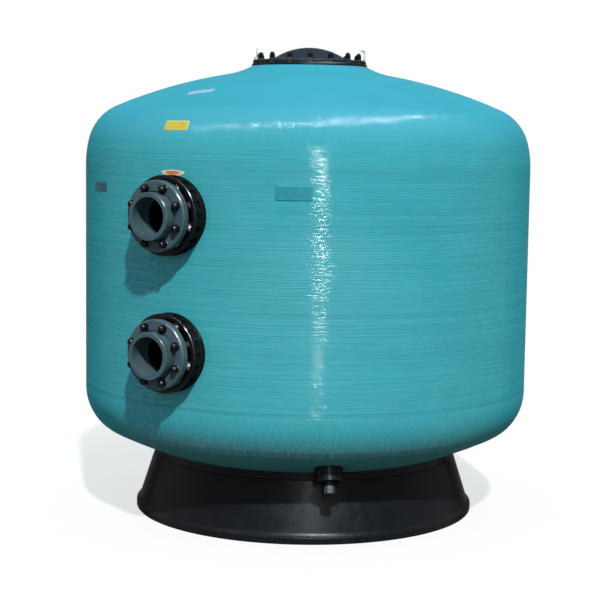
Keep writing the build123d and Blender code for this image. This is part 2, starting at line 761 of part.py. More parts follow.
def write_elbow(label, height, side):
    """Quarter bend with a socket at each end. side is 1 where it turns up, -1 where it turns down."""
    entry = Plane(origin=(0, -elbow_bend_radius, height), x_dir=(1, 0, 0), z_dir=(0, -1, 0))
    exit_z = height + side * elbow_bend_radius
    exit_plane = Plane(origin=(0, 0, exit_z), x_dir=(1, 0, 0), z_dir=(0, 0, side))
    bend_axis = Axis((0, -elbow_bend_radius, exit_z), (1, 0, 0))
    with BuildPart() as elbow:
        with BuildSketch(entry):
            Circle(pipe_bore_radius + elbow_wall)
        revolve(axis=bend_axis, revolution_arc=side * 90)
        for end in (entry, exit_plane):
            with BuildSketch(end):
                Circle(fitting_radius)
            extrude(amount=elbow_socket_depth)
        with BuildSketch(entry):
            Circle(pipe_bore_radius)
        revolve(axis=bend_axis, revolution_arc=side * 90, mode=Mode.SUBTRACT)
        for end in (entry, exit_plane):
            with BuildSketch(end):
                Circle(socket_bore_radius)
            extrude(amount=elbow_socket_depth, mode=Mode.SUBTRACT)
    write(elbow, label)


write_side_pipe("inlet_pipe", port_heights["upper"])
write_elbow("inlet_elbow", port_heights["upper"], 1)
write_side_pipe("outlet_pipe", port_heights["lower"])
write_elbow("outlet_elbow", port_heights["lower"], -1)

riser_foot_z = port_heights["upper"] + elbow_bend_radius + face_gap
with BuildPart() as inlet_riser:
    with BuildSketch(Plane.XY.offset(riser_foot_z)):
        Circle(pipe_radius)
        Circle(pipe_bore_radius, mode=Mode.SUBTRACT)
    extrude(amount=riser_length)
write(inlet_riser, "inlet_riser")

# Diffuser: a funnel on the riser's end
diffuser_stop_z = riser_foot_z + riser_length + face_gap
diffuser_foot_z = diffuser_stop_z - diffuser_socket_depth
diffuser_top_z = diffuser_stop_z + diffuser_cone_height
diffuser_slant = hypot(diffuser_mouth_radius - pipe_bore_radius, diffuser_cone_height)
diffuser_lip = diffuser_wall * diffuser_slant / diffuser_cone_height
with BuildPart() as diffuser:
    with BuildSketch(Plane.XZ):
        with BuildLine():
            Polyline(
                (socket_bore_radius, diffuser_foot_z),
                (fitting_radius, diffuser_foot_z),
                (fitting_radius, diffuser_stop_z),
                (diffuser_mouth_radius, diffuser_top_z),
                (diffuser_mouth_radius - diffuser_lip, diffuser_top_z),
                (pipe_bore_radius, diffuser_stop_z),
                (socket_bore_radius, diffuser_stop_z),
                close=True,
            )
        make_face()
    revolve(axis=Axis.Z)
write(diffuser, "diffuser")

hub_top_z = hub_bottom_z + hub_height
drop_top_z = port_heights["lower"] - elbow_bend_radius - face_gap
with BuildPart() as outlet_drop:
    with BuildSketch(Plane.XY.offset(hub_top_z + face_gap)):
        Circle(pipe_radius)
        Circle(pipe_bore_radius, mode=Mode.SUBTRACT)
    extrude(amount=drop_top_z - hub_top_z - face_gap)
write(outlet_drop, "outlet_drop")

# Collector hub: a closed drum with a neck for the drop pipe and a socket for each lateral
lateral_z = hub_bottom_z + hub_height / 2
lateral_angles = [lateral_azimuth - 90 + index * 360 / lateral_count for index in range(lateral_count)]
lateral_planes = [
    Plane(origin=(0, 0, lateral_z), x_dir=(0, 0, 1), z_dir=(cos(radians(angle)), sin(radians(angle)), 0))
    for angle in lateral_angles
]
lateral_start = hub_radius + face_gap
with BuildPart() as collector_hub:
    with BuildSketch(Plane.XY.offset(hub_bottom_z)):
        Circle(hub_radius)
    extrude(amount=hub_height)
    with BuildSketch(Plane.XY.offset(hub_top_z)):
        Circle(fitting_radius)
    extrude(amount=hub_neck_height)
    with BuildSketch(*[plane.offset(hub_radius / 2) for plane in lateral_planes]):
        Circle(lateral_socket_radius)
    extrude(amount=lateral_socket_reach - hub_radius / 2)
    with BuildSketch(Plane.XY.offset(hub_bottom_z + hub_wall)):
        Circle(hub_radius - hub_wall)
    extrude(amount=hub_height - 2 * hub_wall, mode=Mode.SUBTRACT)
    with BuildSketch(Plane.XY.offset(hub_top_z - hub_wall)):
        Circle(pipe_bore_radius)
    extrude(amount=hub_wall, mode=Mode.SUBTRACT)
    with BuildSketch(Plane.XY.offset(hub_top_z)):
        Circle(socket_bore_radius)
    extrude(amount=hub_neck_height, mode=Mode.SUBTRACT)
    with BuildSketch(*[plane.offset(hub_radius / 2) for plane in lateral_planes]):
        Circle(lateral_radius - lateral_wall)
    extrude(amount=hub_radius / 2, mode=Mode.SUBTRACT)
    with BuildSketch(*[plane.offset(hub_radius) for plane in lateral_planes]):
        Circle(lateral_radius + glue_clearance)
    extrude(amount=lateral_socket_reach - hub_radius, mode=Mode.SUBTRACT)
write(collector_hub, "collector_hub")

# Laterals: tubes closed at the far end, slotted on the underside
lateral_length = lateral_reach - lateral_start
lateral_slot_count = int((lateral_reach - lateral_slot_end_gap - lateral_first_slot) / lateral_slot_pitch) + 1
with BuildPart() as lateral:
    with BuildSketch(Plane.YZ.offset(lateral_start)):
        Circle(lateral_radius)
    extrude(amount=lateral_length)
    with BuildSketch(Plane.YZ.offset(lateral_start)):
        Circle(lateral_radius - lateral_wall)
    extrude(amount=lateral_length - lateral_wall, mode=Mode.SUBTRACT)
    slot_middle = lateral_first_slot + (lateral_slot_count - 1) * lateral_slot_pitch / 2
    with BuildSketch(Plane.XZ.offset(-lateral_radius)):
        with Locations((slot_middle, -lateral_radius)):
            with GridLocations(lateral_slot_pitch, 1, lateral_slot_count, 1):
                Rectangle(lateral_slot_width, 2 * lateral_slot_depth)
    extrude(amount=2 * lateral_radius, mode=Mode.SUBTRACT)
with BuildPart() as laterals:
    with Locations(*[Location((0, 0, lateral_z), (0, 0, angle)) for angle in lateral_angles]):
        add(lateral.part)
write(laterals, "laterals")

leg_foot_z = base_point(leg_foot_radius, tank_wall)[1] + seat_gap
with BuildPart() as hub_leg:
    with BuildSketch(Plane.XY.offset(leg_foot_z)):
        Circle(leg_foot_radius)
    extrude(amount=leg_foot_height)
    with BuildSketch(Plane.XY.offset(leg_foot_z)):
        Circle(leg_radius)
    extrude(amount=hub_bottom_z - leg_foot_z)
    with BuildSketch(Plane.XY.offset(leg_foot_z)):
        Circle(leg_radius - leg_wall)
    extrude(amount=hub_bottom_z - leg_foot_z, mode=Mode.SUBTRACT)
write(hub_leg, "hub_leg")

# Drain: each size along its axis is counted from the outside of the dished bottom
base_centre = (0, 0, base_crown_centre[1])
seal_sphere_radius = base_crown_radius - tank_wall - seat_gap
nut_sphere_radius = seal_sphere_radius - drain_seal_thickness - seat_gap
nut_back = base_crown_radius - nut_sphere_radius + drain_locknut_thickness
thread_end = drain_flange_depth + drain_thread_length
with BuildPart() as drain_body:
    with BuildSketch(drain_plane.offset(-tank_wall / 2)):
        Circle(drain_flange_radius)
    extrude(amount=drain_flange_depth + tank_wall / 2)
    with Locations(base_centre):
        Sphere(base_crown_radius + seat_gap, mode=Mode.SUBTRACT)
    with BuildSketch(drain_plane.offset(-drain_stem_length)):
        Circle(drain_stem_radius)
    extrude(amount=drain_stem_length + drain_flange_depth)
    with BuildSketch(drain_plane.offset(drain_flange_depth)):
        Circle(drain_thread_radius)
    extrude(amount=drain_thread_length)
    with BuildSketch(drain_plane.offset(-drain_stem_length)):
        Circle(drain_bore_radius)
    extrude(amount=drain_stem_length + thread_end, mode=Mode.SUBTRACT)
write(drain_body, "drain_body")

with BuildPart() as drain_seal:
    with BuildSketch(drain_plane):
        Circle(drain_seal_radius)
        Circle(drain_stem_radius + bolt_clearance, mode=Mode.SUBTRACT)
    extrude(amount=-nut_back)
    with Locations(base_centre):
        Sphere(seal_sphere_radius, mode=Mode.INTERSECT)
        Sphere(seal_sphere_radius - drain_seal_thickness, mode=Mode.SUBTRACT)
write(drain_seal, "drain_seal")

with BuildPart() as drain_locknut:
    with BuildSketch(drain_plane):
        RegularPolygon(drain_locknut_radius, 6)
        Circle(drain_stem_radius + thread_clearance, mode=Mode.SUBTRACT)
    extrude(amount=-nut_back)
    with Locations(base_centre):
        Sphere(nut_sphere_radius, mode=Mode.INTERSECT)
write(drain_locknut, "drain_locknut")

# Strainer: a slotted cup over the stem's inner end
strainer_start = nut_back + face_gap
strainer_radius = drain_stem_radius + glue_clearance + strainer_wall
with BuildPart() as drain_strainer:
    with BuildSketch(drain_plane.offset(-strainer_start)):
        Circle(strainer_radius)
    extrude(amount=-strainer_length)
    with BuildSketch(drain_plane.offset(-strainer_start)):
        Circle(drain_stem_radius + glue_clearance)
    extrude(amount=strainer_wall - strainer_length, mode=Mode.SUBTRACT)
    with BuildSketch(drain_plane.offset(-strainer_start - strainer_length + strainer_wall)):
        with PolarLocations(strainer_radius, strainer_slot_count):
            Rectangle(3 * strainer_wall, strainer_slot_width)
    extrude(amount=strainer_slot_length, mode=Mode.SUBTRACT)
write(drain_strainer, "drain_strainer")

# Screw cap: grip ribs, a plate over the seal and a neck for the small plug
cap_start = drain_flange_depth + cap_flange_gap
cap_plate_start = thread_end + cap_seal_thickness + 2 * face_gap
cap_end = cap_plate_start + cap_plate
neck_end = cap_end + cap_neck_length
with BuildPart() as drain_cap:
    with BuildSketch(drain_plane.offset(cap_start)):
        Circle(cap_radius)
        with PolarLocations(cap_radius, cap_rib_count):
            Rectangle(2 * cap_rib_depth, cap_groove_width, mode=Mode.SUBTRACT)
    extrude(amount=cap_end - cap_start)
    with BuildSketch(drain_plane.offset(cap_end)):
        Circle(cap_neck_radius)
    extrude(amount=cap_neck_length)
    with BuildSketch(drain_plane.offset(cap_start)):
        Circle(drain_thread_radius + thread_clearance)
    extrude(amount=cap_plate_start - cap_start, mode=Mode.SUBTRACT)
    with BuildSketch(drain_plane.offset(cap_plate_start)):
        Circle(plug_shank_radius + thread_clearance)
    extrude(amount=cap_plate + cap_neck_length, mode=Mode.SUBTRACT)
write(drain_cap, "drain_cap")

with BuildPart() as drain_cap_seal:
    with BuildSketch(drain_plane.offset(thread_end + face_gap)):
        Circle(drain_thread_radius - bolt_clearance)
        Circle(drain_bore_radius + bolt_clearance, mode=Mode.SUBTRACT)
    extrude(amount=cap_seal_thickness)
write(drain_cap_seal, "drain_cap_seal")

plug_head_start = neck_end + plug_seal_thickness + 2 * face_gap
with BuildPart() as drain_plug:
    with BuildSketch(drain_plane.offset(plug_head_start)):
        RegularPolygon(plug_flats / 2 / cos(radians(30)), 6)
    extrude(amount=plug_head_length)
    with BuildSketch(drain_plane.offset(plug_head_start)):
        Circle(plug_shank_radius)
    extrude(amount=-plug_shank_length)
write(drain_plug, "drain_plug")

with BuildPart() as drain_plug_seal:
    with BuildSketch(drain_plane.offset(neck_end + face_gap)):
        Circle(plug_seal_radius)
        Circle(plug_shank_radius + thread_clearance, mode=Mode.SUBTRACT)
    extrude(amount=plug_seal_thickness)
write(drain_plug_seal, "drain_plug_seal")
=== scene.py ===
"""Looks of a sand filter with a wound tank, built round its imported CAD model.

Metres, +Z up. The two ports face -Y. An azimuth is counted in degrees from the ports' side,
anticlockwise seen from above.
"""

import json
import math

import bmesh
import bpy
from mathutils import Matrix, Vector


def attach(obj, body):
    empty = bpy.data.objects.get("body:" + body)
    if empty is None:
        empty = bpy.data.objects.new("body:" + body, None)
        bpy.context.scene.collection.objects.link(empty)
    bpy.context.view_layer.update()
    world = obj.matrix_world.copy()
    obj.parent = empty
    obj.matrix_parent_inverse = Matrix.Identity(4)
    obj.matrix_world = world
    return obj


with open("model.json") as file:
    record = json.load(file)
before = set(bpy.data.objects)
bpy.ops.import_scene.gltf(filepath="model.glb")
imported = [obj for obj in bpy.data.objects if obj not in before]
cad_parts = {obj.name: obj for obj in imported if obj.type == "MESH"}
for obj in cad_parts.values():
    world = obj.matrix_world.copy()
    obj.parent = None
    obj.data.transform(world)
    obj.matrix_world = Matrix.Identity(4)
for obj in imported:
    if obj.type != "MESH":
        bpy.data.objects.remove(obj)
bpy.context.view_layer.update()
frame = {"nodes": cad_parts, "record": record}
nodes = frame["nodes"]
body = "filter"

# Camera: where the photograph was taken from
camera_azimuth = 33.0
camera_distance = 5.69
camera_height = 1.37
camera_pitch = 6.18
camera_yaw = 0.226
camera_roll = 0.8
camera_lens = 93.6
sensor_width = 36.0

# Light
sun_azimuth = 42.6
sun_elevation = 47.0
sun_strength = 3.42
sun_angle = 2.0
sun_distance = 6.0
sun_colour = (1.0, 0.985, 0.96)
sky_strength = 0.47
sky_tint = (0.74, 1.0, 1.1, 1.0)
side_bar = dict(azimuth=38.3, distance=4.6, low=0.35, high=2.65, width=0.12, power=118.0)
top_bar_z = 4.36
top_bar_width = 0.04
top_bar_power = 62.0
top_bar_corners = ((1.95, -3.7), (1.91, 0.47), (-0.67, 2.1))
shoulder_reach = 0.75
glint_distance = 3.0
glints = {
    "port_glint": dict(azimuth=0.0, reach=0.9, z=0.87, radius=0.42, power=2400.0),
    "foot_glint": dict(
        azimuth=35.0, reach=0.55, z=0.12, radius=0.7, power=3400.0, colour=(0.7, 0.92, 1.0)
    ),
    "lid_glint": dict(azimuth=0.0, reach=0.0, z=1.64, radius=0.3, power=900.0),
}

# Floor: its colour as seen, the colour it throws back on the filter, and where its own white takes over
floor_radius = 30.0
floor_colour = (0.93, 0.93, 0.93, 1.0)
floor_bounce = (0.15, 0.135, 0.12, 1.0)
floor_fade_start = 1.0
floor_fade_end = 3.0
floor_white_near = 0.7

# Wound layers of the tank
hoop_bottom_z = 0.4575
hoop_top_z = 1.33
hoop_pitch = 0.0064
seam_pitch = hoop_pitch * 2.3
foot_line_pitch = 0.0068
side_top_z = 1.3384
skin_relief = 0.0003
skin_specular = 0.04
coat_weight = 0.25
coat_roughness = 0.11
coat_ior = 1.4
coat_wave = 0.006
hoop_ridge = 0.0014
fibre_ridge = 0.001
fibre_bump = 0.0018

# Moulded pieces: dust, grain, and how wide and how much brighter their edges are, lightened partly by wear
# and partly as a painted edge highlight
dust_colour = (0.32, 0.3, 0.27, 1.0)
grain_height = 0.00002
worn_lit_width = 0.0008
worn_lit_gain = 2.2

# Plain coloured fields on the tank. z is the height of the middle, tilt turns a field on the skin
fields = {
    "crown_field": dict(azimuth=-5.5, z=1.496, width=0.092, height=0.036, tilt=22.0, paint="pale_rose"),
    "shoulder_field": dict(azimuth=-0.6, z=1.383, width=0.096, height=0.036, paint="yellow"),
    "port_field": dict(azimuth=0.1, z=1.2315, width=0.094, height=0.0195, paint="orange", oval=True),
    "data_field": dict(azimuth=29.9, z=1.176, width=0.12, height=0.048, paint="dark_teal"),
    "side_field": dict(azimuth=-28.9, z=1.173, width=0.112, height=0.033, paint="slate"),
}
field_corner = 0.004
field_thickness = 0.0004
field_columns = 24
field_rows = 12
film_specular = 0.06
film_roughness_low = 0.42
film_roughness_high = 0.6

# Laying a field on the skin: how far out its points are looked for, and how blunt an oval ends
field_start = 2.0
field_probe = 0.05
oval_end = 0.02


def add_node(tree, kind, inputs=None, **settings):
    """A shader node with its settings and its inputs. An input is a value or the socket that feeds it."""
    made = tree.nodes.new(f"ShaderNode{kind}")
    for name, value in settings.items():
        setattr(made, name, value)
    for key, value in (inputs or {}).items():
        if isinstance(value, bpy.types.NodeSocket):
            tree.links.new(value, made.inputs[key])
        else:
            made.inputs[key].default_value = value
    return made


def calc(tree, operation, *values, clamp=False):
    """Result of a Math node."""
    return add_node(tree, "Math", dict(enumerate(values)), operation=operation, use_clamp=clamp).outputs[0]


def vector_calc(tree, operation, *values, scale=None, output="Vector"):
    """Result of a Vector Math node."""
    inputs = dict(enumerate(values))
    if scale is not None:
        inputs["Scale"] = scale
    return add_node(tree, "VectorMath", inputs, operation=operation).outputs[output]


def remap(tree, value, low, high, to_low=0.0, to_high=1.0):
    """Value moved softly from one range to another and held inside it."""
    inputs = {"Value": value, "From Min": low, "From Max": high, "To Min": to_low, "To Max": to_high}
    return add_node(tree, "MapRange", inputs, interpolation_type="SMOOTHSTEP").outputs["Result"]


def mix_colours(tree, factor, first, second):
    return add_node(tree, "Mix", {0: factor, 6: first, 7: second}, data_type="RGBA").outputs[2]


def mix_values(tree, factor, first, second):
    return add_node(tree, "Mix", {0: factor, 2: first, 3: second}, data_type="FLOAT").outputs[0]


def rgb(red, green, blue):
    return (red, green, blue, 1.0)


def noise(tree, vector, scale, detail=2.0, roughness=0.5):
    inputs = {"Vector": vector, "Scale": scale, "Detail": detail, "Roughness": roughness}
    return add_node(tree, "TexNoise", inputs).outputs["Fac"]


def about_zero(tree, value, size):
    """Value less its mean of one half, times a size."""
    return calc(tree, "MULTIPLY", calc(tree, "SUBTRACT", value, 0.5), size)


def bump(tree, height, distance, normal=None):
    """Normal of a surface that a height pattern raises."""
    inputs = {"Height": height, "Distance": distance, "Strength": 1.0}
    if normal is not None:
        inputs["Normal"] = normal
    return add_node(tree, "Bump", inputs).outputs[0]


def object_position(tree):
    return add_node(tree, "TexCoord").outputs["Object"]


def seen_directly(tree):
    """1 for what the camera, a reflection or clear glass sees, and 0 for the light that a surface gives."""
    path = add_node(tree, "LightPath").outputs
    nearer = calc(tree, "MAXIMUM", path["Is Camera Ray"], path["Is Glossy Ray"])
    return calc(tree, "MAXIMUM", nearer, path["Is Transmission Ray"])


def new_group(name, inputs, outputs):
    """A shader node group with named number inputs: (tree, input sockets by name, output node)."""
    tree = bpy.data.node_groups.new(name, "ShaderNodeTree")
    for label, value in inputs.items():
        socket = tree.interface.new_socket(label, in_out="INPUT", socket_type="NodeSocketFloat")
        socket.default_value = value
    for label, kind in outputs.items():
        tree.interface.new_socket(label, in_out="OUTPUT", socket_type=f"NodeSocket{kind}")
    return tree, tree.nodes.new("NodeGroupInput").outputs, tree.nodes.new("NodeGroupOutput")


def place_group(tree, group, **inputs):
    """A group in a material, with its own values. Underscores stand for the spaces in its sockets' names."""
    made = tree.nodes.new("ShaderNodeGroup")
    made.node_tree = group
    for key, value in inputs.items():
        made.inputs[key.replace("_", " ")].default_value = value
    return made.outputs


def moulded_skin_group():
    """Skin of a moulded piece: soft waviness and fine grain as a normal, and an uneven roughness."""
    tree, given, out = new_group(
        "moulded_skin",
        {
            "Grain Size": 0.0015,
            "Grain Height": 0.00002,
            "Wave Height": 0.0002,
            "Gloss Low": 0.3,
            "Gloss High": 0.5,
        },
        {"Roughness": "Float", "Normal": "Vector"},
    )
    position = object_position(tree)
    wave = noise(tree, position, 9.0, 2.0)
    grain = noise(tree, position, calc(tree, "DIVIDE", 1.0, given["Grain Size"]), 2.0, 0.6)
    smear = noise(tree, position, 24.0, 5.0, 0.65)
    waved = bump(tree, wave, given["Wave Height"])
    grained = bump(tree, grain, given["Grain Height"], waved)
    rough = remap(tree, smear, 0.3, 0.7, given["Gloss Low"], given["Gloss High"])
    tree.links.new(rough, out.inputs["Roughness"])
    tree.links.new(grained, out.inputs["Normal"])
    return tree


def settled_dust_group():
    """Mask of the dust that lies on faces that look up."""
    tree, given, out = new_group("settled_dust", {"Amount": 0.3, "Patch Size": 0.05}, {"Mask": "Float"})
    position = object_position(tree)
    normal = add_node(tree, "NewGeometry").outputs["Normal"]
    upward = add_node(tree, "SeparateXYZ", {0: normal}).outputs["Z"]
    facing = remap(tree, upward, 0.2, 0.95)
    patches = noise(tree, position, calc(tree, "DIVIDE", 1.0, given["Patch Size"]), 5.0, 0.7)
    spots = remap(tree, patches, 0.35, 0.75, 0.25, 1.0)
    mask = calc(tree, "MULTIPLY", calc(tree, "MULTIPLY", facing, spots), given["Amount"], clamp=True)
    tree.links.new(mask, out.inputs["Mask"])
    return tree


def worn_lit_edges_group():
    """Mask of the edges painted lighter, partly as wear and partly as a painted highlight, and a normal that
    rounds them.
    """
    tree, given, out = new_group(
        "worn_lit_edges", {"Width": 0.001, "Amount": 0.5}, {"Mask": "Float", "Normal": "Vector"}
    )
    position = object_position(tree)
    rounded = add_node(tree, "Bevel", {"Radius": given["Width"]}, samples=6).outputs["Normal"]
    flat = add_node(tree, "NewGeometry").outputs["Normal"]
    turned = calc(tree, "SUBTRACT", 1.0, vector_calc(tree, "DOT_PRODUCT", rounded, flat, output="Value"))
    edge = remap(tree, turned, 0.01, 0.12)
    patches = remap(tree, noise(tree, position, 60.0, 4.0, 0.6), 0.3, 0.7)
    mask = calc(tree, "MULTIPLY", calc(tree, "MULTIPLY", edge, patches), given["Amount"], clamp=True)
    tree.links.new(mask, out.inputs["Mask"])
    tree.links.new(rounded, out.inputs["Normal"])
    return tree


moulded_skin = moulded_skin_group()
settled_dust = settled_dust_group()
worn_lit_edges = worn_lit_edges_group()


def new_material(name):
    """An empty node material: (material, tree, its Principled shader)."""
    material = bpy.data.materials.new(name)
    material.use_nodes = True
    tree = material.node_tree
    return material, tree, tree.nodes["Principled BSDF"]


def facing_share(tree, full_until=0.25, gone_at=0.7, least=0.03):
    """Share of the gloss that is left where the skin is seen edge-on."""
    facing = add_node(tree, "LayerWeight", {"Blend": 0.5}).outputs["Facing"]
    return remap(tree, facing, full_until, gone_at, 1.0, least)


def moulded_plastic(
    name,
    colour,
    gloss=(0.3, 0.45),
    worn_lit_colour=None,
    dust=0.15,
    wear_and_edge_light=0.4,
    wave=0.00015,
    specular=0.4,
):
    """Moulded plastic or rubber: streaky colour, edges lighter from wear and a painted highlight, grain and
    a little dust on top.
    """
    material, tree, shader = new_material(name)
    position = object_position(tree)
    skin = place_group(
        tree,
        moulded_skin,
        Grain_Height=grain_height,
        Wave_Height=wave,
        Gloss_Low=gloss[0],
        Gloss_High=gloss[1],
    )
    worn_lit = place_group(tree, worn_lit_edges, Width=worn_lit_width, Amount=wear_and_edge_light)
    dusty = place_group(tree, settled_dust, Amount=dust)
    streaks = remap(tree, noise(tree, position, 14.0, 4.0, 0.6), 0.3, 0.7, 0.82, 1.14)
    streaked = vector_calc(tree, "SCALE", colour[:3], scale=streaks)
    # Edges painted lighter: partly wear, partly a painted highlight
    edge_colour = worn_lit_colour or rgb(*[min(1.0, worn_lit_gain * part) for part in colour[:3]])
    worn_and_lit = mix_colours(tree, worn_lit["Mask"], streaked, edge_colour)
    shown = mix_colours(tree, dusty["Mask"], worn_and_lit, dust_colour)
    tree.links.new(shown, shader.inputs["Base Color"])
    rough = mix_values(tree, dusty["Mask"], skin["Roughness"], 0.85)
    tree.links.new(rough, shader.inputs["Roughness"])
    summed = vector_calc(tree, "ADD", skin["Normal"], worn_lit["Normal"])
    tree.links.new(vector_calc(tree, "NORMALIZE", summed), shader.inputs["Normal"])
    glossy = calc(tree, "MULTIPLY", facing_share(tree), specular)
    tree.links.new(glossy, shader.inputs["Specular IOR Level"])
    return material


def brushed_steel(name, colour, rough=(0.2, 0.38)):
    """Turned and handled steel: fine scratches, a few dull spots."""
    material, tree, shader = new_material(name)
    position = object_position(tree)
    worn_lit = place_group(tree, worn_lit_edges, Width=0.0006, Amount=0.5)
    scratches = noise(tree, vector_calc(tree, "MULTIPLY", position, (500.0, 500.0, 2500.0)), 1.0, 3.0, 0.6)
    spots = remap(tree, noise(tree, position, 220.0, 4.0, 0.7), 0.45, 0.7)
    dull = mix_colours(tree, spots, colour, rgb(*[0.62 * part for part in colour[:3]]))
    # Edges painted bright: partly worn steel, partly a painted highlight
    shown = mix_colours(tree, worn_lit["Mask"], dull, rgb(0.8, 0.8, 0.78))
    tree.links.new(shown, shader.inputs["Base Color"])
    tree.links.new(remap(tree, scratches, 0.3, 0.7, *rough), shader.inputs["Roughness"])
    tree.links.new(bump(tree, scratches, 0.00002, worn_lit["Normal"]), shader.inputs["Normal"])
    shader.inputs["Metallic"].default_value = 1.0
    return material


def wound_fibres(tree, position, count, stretch, lean, detail=3.0):
    """Fibres that run up and down the tank's ends. Lean turns them as they rise, in radians a metre."""
    parts = add_node(tree, "SeparateXYZ", {0: position}).outputs
    level = add_node(tree, "CombineXYZ", {"X": parts["X"], "Y": parts["Y"], "Z": 0.0}).outputs[0]
    reach = vector_calc(tree, "LENGTH", level, output="Value")
    rise = calc(tree, "SUBTRACT", parts["Z"], reach)
    inputs = {
        "Vector": vector_calc(tree, "NORMALIZE", level),
        "Angle": calc(tree, "MULTIPLY", rise, lean),
    }
    turned = add_node(tree, "VectorRotate", inputs, rotation_type="Z_AXIS").outputs[0]
    around = vector_calc(tree, "SCALE", turned, scale=count)
    along = add_node(tree, "CombineXYZ", {"Z": calc(tree, "MULTIPLY", rise, stretch)}).outputs[0]
    return noise(tree, vector_calc(tree, "ADD", around, along), 1.0, detail, 0.6)


def wound_laminate():
    """Coloured glass fibre under a clear coat: hoops round the wall, rising fibres on both ends."""
    material, tree, shader = new_material("turquoise_laminate")
    position = object_position(tree)
    z = add_node(tree, "SeparateXYZ", {0: position}).outputs["Z"]

    # How much of each layer shows: hoops only between their two ends
    stray = about_zero(tree, noise(tree, position, 7.0, 3.0), 0.012)
    above_foot = remap(tree, z, hoop_bottom_z - 0.001, hoop_bottom_z + 0.001)
    below_top = remap(tree, calc(tree, "ADD", z, stray), hoop_top_z - 0.03, hoop_top_z + 0.02, 1.0, 0.0)
    hoops = calc(tree, "MULTIPLY", above_foot, below_top)

    def ring_lines(pitch, wander, drift):
        """Level lines round the tank, 0 to 1 across each. They wander by a share of the pitch."""
        stretched = vector_calc(tree, "MULTIPLY", position, (drift, drift, 9.0))
        shift = about_zero(tree, noise(tree, stretched, 1.0, 3.0, 0.6), wander)
        turns = calc(tree, "ADD", calc(tree, "DIVIDE", z, pitch), shift)
        wave = calc(tree, "SINE", calc(tree, "MULTIPLY", turns, 2 * math.pi))
        return calc(tree, "ADD", calc(tree, "MULTIPLY", wave, 0.5), 0.5)

    def long_strands(height, length, detail):
        """Noise drawn out along the hoops."""
        across = vector_calc(tree, "MULTIPLY", position, (1 / length, 1 / length, 1 / height))
        return noise(tree, across, 1.0, detail, 0.62)

    tow_lines = ring_lines(hoop_pitch, 0.25, 0.5)
    wide_lines = ring_lines(seam_pitch, 0.6, 0.5)
    strands = long_strands(0.005, 1.8, 2.0)
    strength = remap(tree, long_strands(0.012, 0.12, 2.0), 0.36, 0.64, 0.15, 1.0)
    furrows = calc(tree, "MULTIPLY", remap(tree, tow_lines, 0.0, 0.5, 1.0, 0.0), strength)
    seams = calc(
        tree,
        "MULTIPLY",
        remap(tree, wide_lines, 0.0, 0.14, 1.0, 0.0),
        remap(tree, long_strands(0.03, 0.25, 2.0), 0.46, 0.62),
    )
    threads = remap(tree, strands, 0.3, 0.7)
    end_wave = ring_lines(foot_line_pitch, 1.0, 2.2)
    below_lines = remap(tree, z, hoop_bottom_z + 0.016, hoop_bottom_z + 0.022, 1.0, 0.0)
    lowest = calc(tree, "MULTIPLY", above_foot, below_lines)
    end_lines = calc(tree, "MULTIPLY", remap(tree, end_wave, 0.62, 0.85), lowest)

    # Fibres on the ends: two sets that lean a little against each other
    leaning = [
        wound_fibres(tree, position, count=210.0, stretch=26.0, lean=0.12),
        wound_fibres(tree, position, count=130.0, stretch=34.0, lean=-0.18),
    ]
    crossed = calc(tree, "MULTIPLY", calc(tree, "ADD", *leaning), 0.5)
    rising = remap(tree, crossed, 0.38, 0.62)
    combed = remap(tree, z, hoop_top_z + 0.07, hoop_top_z - 0.03, 0.1, 0.65)
    brushed = wound_fibres(tree, position, count=60.0, stretch=14.0, lean=0.2)
    jagged = wound_fibres(tree, position, count=110.0, stretch=22.0, lean=0.1, detail=2.0)
    glitter = wound_fibres(tree, position, count=190.0, stretch=120.0, lean=0.1, detail=2.0)

    body_colour = rgb(0.04, 0.345, 0.405)
    deep_colour = rgb(0.022, 0.25, 0.3)
    light_colour = rgb(0.05, 0.385, 0.455)
    crown_sky_tint = rgb(0.046, 0.325, 0.43)
    foot_line_colour = rgb(0.012, 0.17, 0.21)
    underside_shade_colour = rgb(0.08, 0.29, 0.32)
    clouds = remap(tree, noise(tree, position, 3.5, 4.0, 0.6), 0.3, 0.7, 0.965, 1.035)
    between_threads = mix_colours(tree, 0.12, body_colour, deep_colour)
    thread_colour = mix_colours(tree, threads, between_threads, light_colour)
    lined = mix_colours(tree, calc(tree, "MULTIPLY", furrows, 0.3), thread_colour, deep_colour)
    seamed = mix_colours(tree, calc(tree, "MULTIPLY", seams, 0.42), lined, deep_colour)
    hoop_colour = mix_colours(tree, calc(tree, "MULTIPLY", end_lines, 0.62), seamed, foot_line_colour)
    # Painted reflection of the sky: above about 1.3 m the ends turn bluer towards the crown
    end_body = mix_colours(tree, remap(tree, z, 1.3, 1.42), body_colour, crown_sky_tint)
    end_deep = mix_colours(tree, calc(tree, "MULTIPLY", combed, 0.28), end_body, deep_colour)
    end_light = mix_colours(tree, calc(tree, "MULTIPLY", combed, 0.5), end_body, light_colour)
    end_colour = mix_colours(tree, rising, end_deep, end_light)
    # Painted shade: below about 0.3 to 0.4 m, along a ragged edge, the ends turn darker and greyer, as the
    # shade under the tank
    painted_shade_edge = calc(tree, "ADD", z, about_zero(tree, brushed, 0.05))
    shaded_underside = mix_colours(tree, remap(tree, painted_shade_edge, 0.4, 0.3), end_colour, underside_shade_colour)
    colour = mix_colours(tree, hoops, shaded_underside, hoop_colour)
    tree.links.new(vector_calc(tree, "SCALE", colour, scale=clouds), shader.inputs["Base Color"])

